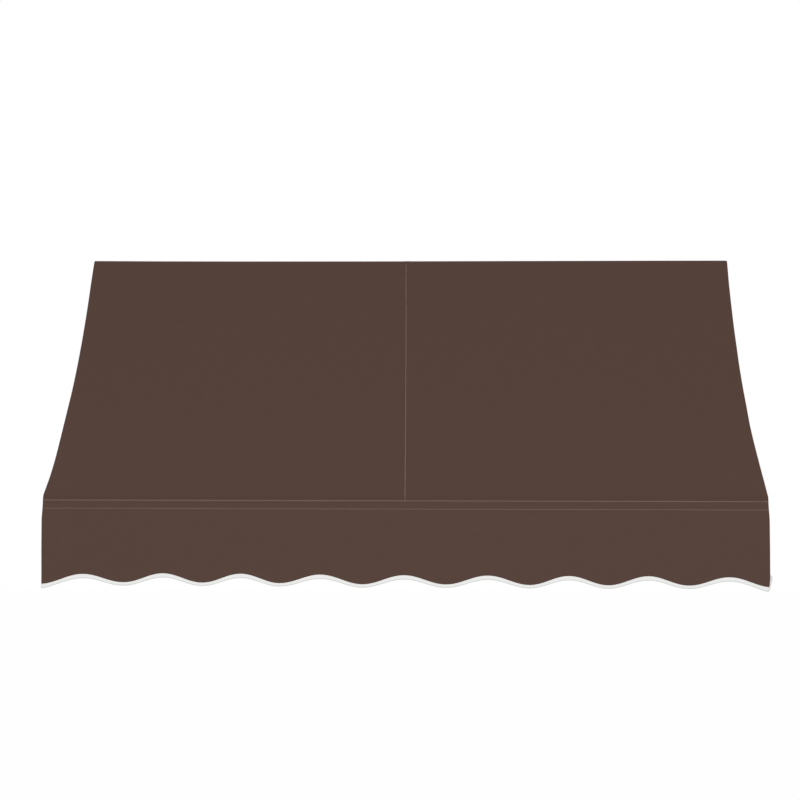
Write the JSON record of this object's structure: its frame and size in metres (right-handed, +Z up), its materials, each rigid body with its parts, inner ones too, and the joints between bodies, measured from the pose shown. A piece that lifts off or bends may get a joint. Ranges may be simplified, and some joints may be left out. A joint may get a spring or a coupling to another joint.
{
  "type": "window awning",
  "caption": "Fixed window awning: flared brown canvas cover with closed sides and a wavy valance edged in white tape, on a tubular aluminium frame.",
  "frame": {"origin": "middle of the back face of the centre wall bracket, on the wall plane", "axes": "+X to the right seen from the street, +Y into the wall, +Z up; the awning stands out towards -Y"},
  "size_m": [1.6428, 0.6149, 0.8095],
  "materials": {
    "acrylic_canvas": "matt woven acrylic, solution dyed brown",
    "binding_tape": "matt white woven tape",
    "strap_webbing": "matt woven hook and loop tape",
    "mill_aluminium": "satin mill finish",
    "cast_aluminium": "fine cast surface",
    "zinc_plated_steel": "zinc plated, satin"
  },
  "bodies": {
    "root": {"binding_front": "binding_tape", "binding_left": "binding_tape", "binding_right": "binding_tape", "canopy_panel_left": "acrylic_canvas", "canopy_panel_right": "acrylic_canvas", "centre_saddle_front": "cast_aluminium", "centre_saddle_head": "cast_aluminium", "foot_corner_left": "cast_aluminium", "foot_corner_right": "cast_aluminium", "front_bar": "mill_aluminium", "front_corner_left": "cast_aluminium", "front_corner_right": "cast_aluminium", "head_bar": "mill_aluminium", "head_corner_left": "cast_aluminium", "head_corner_right": "cast_aluminium", "rafter_centre": "mill_aluminium", "rafter_left": "mill_aluminium", "rafter_pocket": "acrylic_canvas", "rafter_right": "mill_aluminium", "side_rail_left": "mill_aluminium", "side_rail_right": "mill_aluminium", "side_wing_left": "acrylic_canvas", "side_wing_right": "acrylic_canvas", "strap_front_1": "strap_webbing", "strap_front_2": "strap_webbing", "strap_front_3": "strap_webbing", "strap_front_4": "strap_webbing", "strap_head_1": "strap_webbing", "strap_head_2": "strap_webbing", "strap_head_3": "strap_webbing", "strap_head_4": "strap_webbing", "strap_rafter_left_1": "strap_webbing", "strap_rafter_left_2": "strap_webbing", "strap_rafter_right_1": "strap_webbing", "strap_rafter_right_2": "strap_webbing", "strap_rail_left": "strap_webbing", "strap_rail_right": "strap_webbing", "strap_upright_left": "strap_webbing", "strap_upright_right": "strap_webbing", "valance_front": "acrylic_canvas", "valance_left": "acrylic_canvas", "valance_right": "acrylic_canvas", "wall_bracket_centre": "zinc_plated_steel", "wall_bracket_left": "zinc_plated_steel", "wall_bracket_right": "zinc_plated_steel", "wall_upright_left": "mill_aluminium", "wall_upright_right": "mill_aluminium"}
  },
  "joints": []
}
